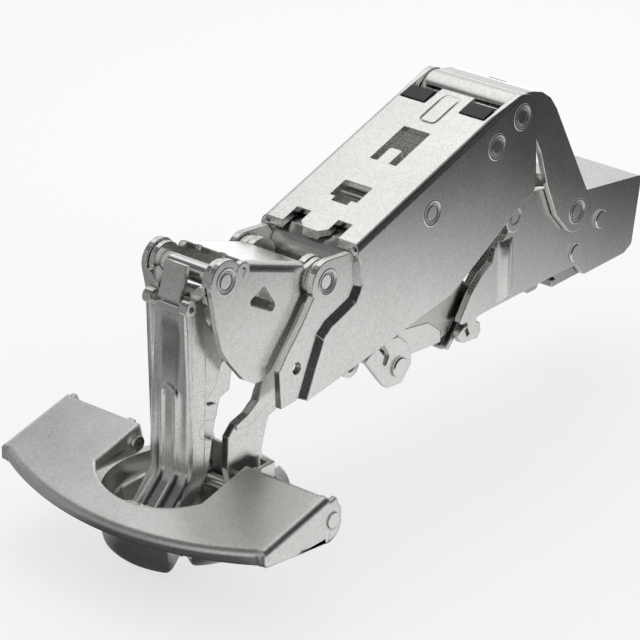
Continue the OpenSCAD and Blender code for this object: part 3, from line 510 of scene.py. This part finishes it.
# Long bead pressed out of the side walls of the base
BEAD_Y, BEAD_HALF, BEAD_OUT = 83.5, 2.5, 0.75
WALL_X, BEAD_SINK, BEAD_POINTS = 9.0, 0.3, 16
# Heights along the bead, and how far it stands out there
BEAD_RUN = ((3.0, 0.02), (3.3, 0.5), (3.9, 0.85), (4.7, 1.0), (12.0, 1.0), (14.5, 1.0), (15.6, 0.6),
            (16.0, 0.02))


def beads(work):
    for side in (-1, 1):
        rings = []
        for z, scale in BEAD_RUN:
            ring = []
            for i in range(BEAD_POINTS + 1):
                t = -1 + 2 * i / BEAD_POINTS
                out = BEAD_OUT * (0.5 + 0.5 * math.cos(math.pi * t)) * scale
                ring.append((side * (WALL_X + out), BEAD_Y + BEAD_HALF * t, z))
            for y in (BEAD_Y + BEAD_HALF, BEAD_Y - BEAD_HALF):
                ring.append((side * (WALL_X - BEAD_SINK), y, z))
            rings.append(ring)
        skin(work, rings)


new_piece("body_beads", body_of["hinge_body"], "nickel_sheet", beads)

# Web of the front lever: pressed section swept round a smooth forward bend
LEVER_O, LEVER_I, LINK_T = 5.12, 3.9, 1.2
BEND_Y, BEND_Z, BEND_R = -11.1, -1.6, 4.45
LEAN, BEND, SWEEP_STEPS = math.radians(2.1), math.radians(48), 14
FOLD_R, WEB_DEPTH, FOLD_STEPS = 1.15, 4.2, 6
RIB_X, RIB_R, RIB_SINK = 1.7, 0.8, 0.3
ARCH_UP, ARCH_R, ARCH_RAISE, ARCH_STEPS, ARCH_SIDES = 14.6, 0.5, 0.12, 12, 10
# Distance above the bend and how far the ribs stand out there, then distance past the bend
WEB_RUN = ((31.0, 0.0), (16.4, 0.0), (15.8, 0.5), (15.0, 0.95), (14.0, 1.0), (7.0, 1.0))
WEB_TAIL = (2.2, 4.6, 7.6)


def arc(cx, cy, r, a0, a1):
    turns = [math.radians(a0 + (a1 - a0) * i / FOLD_STEPS) for i in range(FOLD_STEPS + 1)]
    return [(cx + r * math.cos(t), cy + r * math.sin(t)) for t in turns]


def web_section(rib):
    """Outline of the web across the lever: x, and depth behind the front face."""
    ribs = [q for x in (-RIB_X, RIB_X) for q in arc(x, RIB_SINK * rib, RIB_R * rib, 200, 340)]
    ribs = [(x, min(depth, 0.0)) for x, depth in ribs]
    return (arc(FOLD_R - LEVER_O, FOLD_R, FOLD_R, 180, 270) + ribs
            + arc(LEVER_O - FOLD_R, FOLD_R, FOLD_R, 270, 360)
            + [(LEVER_O, WEB_DEPTH), (LEVER_I, WEB_DEPTH), (LEVER_I, LINK_T), (-LEVER_I, LINK_T),
               (-LEVER_I, WEB_DEPTH), (-LEVER_O, WEB_DEPTH)])


def web_point(x, depth, turn, along):
    """Turn is the angle of the web's face about the bend, along a run straight on from it."""
    c, n = math.cos(turn), math.sin(turn)
    r = BEND_R + depth
    return x, BEND_Y + r * c + along * n, BEND_Z - r * n + along * c


def web_row(turn, along, rib):
    return [web_point(x, depth, turn, along) for x, depth in web_section(rib)]


def web_sweep(work):
    rows = [web_row(LEAN, along, rib) for along, rib in WEB_RUN]
    rows += [web_row(LEAN + (BEND - LEAN) * i / SWEEP_STEPS, 0.0, 1.0) for i in range(SWEEP_STEPS + 1)]
    rows += [web_row(BEND, -along, 1.0) for along in WEB_TAIL]
    skin(work, rows)
    # Arch that joins the two ribs at their top
    rings = []
    for i in range(ARCH_STEPS + 1):
        a = math.pi * i / ARCH_STEPS
        x, up = RIB_X * math.cos(a), RIB_X * math.sin(a)
        ring = []
        for k in range(ARCH_SIDES):
            b = 2 * math.pi * k / ARCH_SIDES
            q = (RIB_X + ARCH_R * math.cos(b)) / RIB_X
            ring.append(web_point(x * q, ARCH_RAISE + ARCH_R * math.sin(b), LEAN, ARCH_UP + up * q))
        rings.append(ring)
    skin(work, rings)


# Line of the solid's web below the bend, and how it stands above it
WEB = [(-6.6, 0.0), (-6.9, -6.5), (-10.8, -10.6), (-13.2, -12.7)]
WEB_Y, WEB_LEAN = -6.6, 0.037
WEB_RISE, WEB_BACK = 3.2, 0.7
# Where the moves fade out: across, up the web, and away from its line
WEB_SIDE, WEB_END, UPPER_REACH, LOWER_REACH = (5.2, 5.4), (28.5, 30.0), (0.9, 1.6), (1.9, 3.4)
RISE_DOWN, RISE_AHEAD, BEND_TOP = (-0.5, 7.0), (-11.8, -9.4), 0.5


def web_distance(y, z):
    best = 99.0
    for (y0, z0), (y1, z1) in zip(WEB, WEB[1:]):
        dy, dz = y1 - y0, z1 - z0
        t = min(1.0, max(0.0, ((y - y0) * dy + (z - z0) * dz) / (dy * dy + dz * dz)))
        best = min(best, math.hypot(y - y0 - t * dy, z - z0 - t * dz))
    return best


def web_bend(x, y, z):
    """Raise the lower web to the drawn bend, and set the flat web behind the pressed one."""
    back = WEB_BACK * (1.0 - smooth(abs(x), *WEB_SIDE))
    if z > BEND_TOP:
        near = 1.0 - smooth(abs(y - WEB_Y - WEB_LEAN * z), *UPPER_REACH)
        return x, y + back * near * (1.0 - smooth(z, *WEB_END)), z
    near = 1.0 - smooth(web_distance(y, z), *LOWER_REACH)
    down = smooth(-z, *RISE_DOWN)
    ahead = smooth(y, *RISE_AHEAD)
    return x, y + back * near, z + WEB_RISE * near * down * ahead


LEVER_LEVELS = [0.4, -0.4, -1.2, -2, -2.8, -3.6, -4.4, -5.2, -6, -6.6, -7.4, -8.2, -9, -9.8]
reshape("front_lever", LEVER_LEVELS, web_bend, web_sweep)

# Cheeks of the front rail, which fill the gap under the arm
CHEEK_IN, CHEEK_OUT = 5.35, 6.55
RAIL_CHEEK = [(52.6, 1.0), (65.2, -0.6), (68.5, 0.6), (71.7, 3.8), (74.7, 6.7), (75.1, 8.0), (70.0, 11.2),
              (60.0, 10.2), (52.6, 8.0)]


def cheeks(work):
    for side in (-1, 1):
        prism(work, side * CHEEK_IN, side * CHEEK_OUT, RAIL_CHEEK)


new_piece("rail_cheeks", body_of["front_rail"], "dark_sheet", cheeks)


# Rims pressed round the pin ends: y, z and the distance from the middle plane
RIM_R, RIM_WIDE, RIM_HIGH, RIM_AROUND, RIM_SIDES = 2.52, 0.26, 0.16, 48, 10
RIMS = {"main_arm": ((84.0, 42.8, 12.0), (76.0, 39.0, 12.0), (55.9, 31.7, 12.0), (26.1, 27.3, 10.9)),
        "rear_link": ((105.5, 15.3, 10.4),), "triangular_link": ((0.5, 35.6, 8.5),)}


def rim(work, y, z, x, side):
    rings = []
    for i in range(RIM_AROUND):
        a = 2 * math.pi * i / RIM_AROUND
        ring = []
        for k in range(RIM_SIDES):
            b = 2 * math.pi * k / RIM_SIDES
            q = RIM_R + RIM_WIDE * math.cos(b)
            ring.append((side * (x + RIM_HIGH * math.sin(b)), y + q * math.cos(a), z + q * math.sin(a)))
        rings.append(ring)
    skin(work, rings, True)


def rims_at(places):
    def build(work):
        for y, z, x in places:
            for side in (-1, 1):
                rim(work, y, z, x, side)
    return build


for name, places in RIMS.items():
    new_piece(name + "_rims", body_of[name], "pin_steel", rims_at(places))


# Studio, in metres: pale floor that shows painted reflection tones to the metal, a room brighter to the left
# and behind, one soft panel overhead
FLOOR_GAP, FLOOR_HALF = 0.0002, 6.0
floor_z = cad_box[0][2] - FLOOR_GAP
FLOOR_COLOUR, FLOOR_GLOW, GLOW_SHARE, MIRROR_SHARE = 0.92, 1.12, 0.6, 0.92
HOLLOW_FLOOR, HOLLOW_WORLD = 0.85, 1.2
FILL = 0.75
# Painted reflection: tones that the floor shows only to the metal's mirror rays, from and to a place, and
# their strengths there
BESIDE_Y, BESIDE_X = (-0.010, 0.074, 0.98, 0.06), (0.086, 0.106, 1.0, 0.10)
AWAY_Y, SIDE_X = (0.02, 0.16, 0.29, 1.6), (-0.025, 0.012, 0.0, 1.0)
PATCH_X, PATCH_Y, PATCH_WIDE, PATCH_LONG = 0.008, -0.148, 0.038, 0.036
PATCH_FADE = (0.55, 1.1, 0.05, 1.0)
ROOM_Z, ROOM_X, ROOM_Y = (0.40, 0.68, 1.05, 0.45), (0.0, 0.32, 1.0, 0.08), (-0.25, 0.10, 0.42, 1.0)


def make_floor():
    data = bpy.data.meshes.new("floor")
    s = FLOOR_HALF
    data.from_pydata([(-s, -s, floor_z), (s, -s, floor_z), (s, s, floor_z), (-s, s, floor_z)], [],
                     [(0, 1, 2, 3)])
    floor = bpy.data.objects.new("floor", data)
    scene.collection.objects.link(floor)
    mat, t = new_material("floor")
    ray = t.add("ShaderNodeLightPath")
    diffuse = t.add("ShaderNodeBsdfDiffuse")
    diffuse.inputs["Color"].default_value = (FLOOR_COLOUR, FLOOR_COLOUR, FLOOR_COLOUR, 1.0)
    white = t.add("ShaderNodeEmission")
    white.inputs["Strength"].default_value = FLOOR_GLOW
    # Painted reflection, seen only by mirror rays: the floor glows bright beside the arm, dark behind it and
    # far to the right
    where = t.add("ShaderNodeSeparateXYZ")
    t.join(t.add("ShaderNodeTexCoord").outputs["Object"], where.inputs[0])
    beside = t.math("MULTIPLY", t.spread(where.outputs["Y"], *BESIDE_Y),
                    t.spread(where.outputs["X"], *BESIDE_X))
    away = t.spread(where.outputs["Y"], *AWAY_Y)
    side = t.spread(where.outputs["X"], *SIDE_X)
    tone = t.math("ADD", t.math("MULTIPLY", beside, side),
                  t.math("MULTIPLY", away, t.math("SUBTRACT", 1.0, side)))
    # Painted reflection: a dark patch in front of the cup, which the cup mirrors
    dx = t.math("DIVIDE", t.math("SUBTRACT", where.outputs["X"], PATCH_X), PATCH_WIDE)
    dy = t.math("DIVIDE", t.math("SUBTRACT", where.outputs["Y"], PATCH_Y), PATCH_LONG)
    off = t.math("SQRT", t.math("ADD", t.math("MULTIPLY", dx, dx), t.math("MULTIPLY", dy, dy)))
    tone = t.math("MULTIPLY", tone, t.spread(off, *PATCH_FADE, True))
    seen = t.add("ShaderNodeEmission")
    t.join(t.deeper(ray, tone, HOLLOW_FLOOR), seen.inputs["Strength"])
    first = t.add("ShaderNodeMixShader")
    t.join(t.math("MULTIPLY", ray.outputs["Is Camera Ray"], GLOW_SHARE), first.inputs["Fac"])
    t.join(diffuse.outputs[0], first.inputs[1])
    t.join(white.outputs[0], first.inputs[2])
    second = t.add("ShaderNodeMixShader")
    both = t.math("MAXIMUM", ray.outputs["Is Glossy Ray"], ray.outputs["Is Transmission Ray"])
    t.join(t.math("MULTIPLY", both, MIRROR_SHARE), second.inputs["Fac"])
    t.join(first.outputs[0], second.inputs[1])
    t.join(seen.outputs[0], second.inputs[2])
    out = t.add("ShaderNodeOutputMaterial")
    t.join(second.outputs[0], out.inputs["Surface"])
    data.materials.append(mat)


def make_world():
    world = bpy.data.worlds.new("studio")
    scene.world = world
    world.use_nodes = True
    t = Tree(world.node_tree)
    ray = t.add("ShaderNodeLightPath")
    where = t.add("ShaderNodeSeparateXYZ")
    t.join(t.add("ShaderNodeTexCoord").outputs["Generated"], where.inputs[0])
    # Bright wall behind and to the left, dark room to the right and dimmer in front
    height = t.spread(where.outputs["Z"], *ROOM_Z, True)
    right = t.spread(where.outputs["X"], *ROOM_X, True)
    front = t.spread(where.outputs["Y"], *ROOM_Y, True)
    fill = t.add("ShaderNodeBackground")
    fill.inputs["Strength"].default_value = FILL
    shown = t.add("ShaderNodeBackground")
    tone = t.math("MULTIPLY", t.math("MULTIPLY", height, right), front)
    t.join(t.deeper(ray, tone, HOLLOW_WORLD), shown.inputs["Strength"])
    mix = t.add("ShaderNodeMixShader")
    seen = t.math("MAXIMUM", ray.outputs["Is Camera Ray"],
                  t.math("MAXIMUM", ray.outputs["Is Glossy Ray"], ray.outputs["Is Transmission Ray"]))
    t.join(seen, mix.inputs["Fac"])
    t.join(fill.outputs[0], mix.inputs[1])
    t.join(shown.outputs[0], mix.inputs[2])
    out = t.add("ShaderNodeOutputWorld")
    t.join(mix.outputs[0], out.inputs["Surface"])


def panel(name, point, target, size, radiance):
    """Soft light panel; radiance is what the metal sees where it mirrors the panel."""
    data = bpy.data.lights.new(name, "AREA")
    data.shape = "RECTANGLE"
    data.size, data.size_y = size
    data.energy = radiance * math.pi * size[0] * size[1]
    lamp = bpy.data.objects.new(name, data)
    scene.collection.objects.link(lamp)
    point, target = Vector(point), Vector(target)
    lamp.location = point
    lamp.rotation_euler = (target - point).to_track_quat("-Z", "Y").to_euler()


make_floor()
make_world()
panel("softbox", (-0.105, 0.07, 0.22), (-0.105, 0.07, 0.0), (0.17, 0.33), 0.92)
scene.view_settings.view_transform = "Standard"
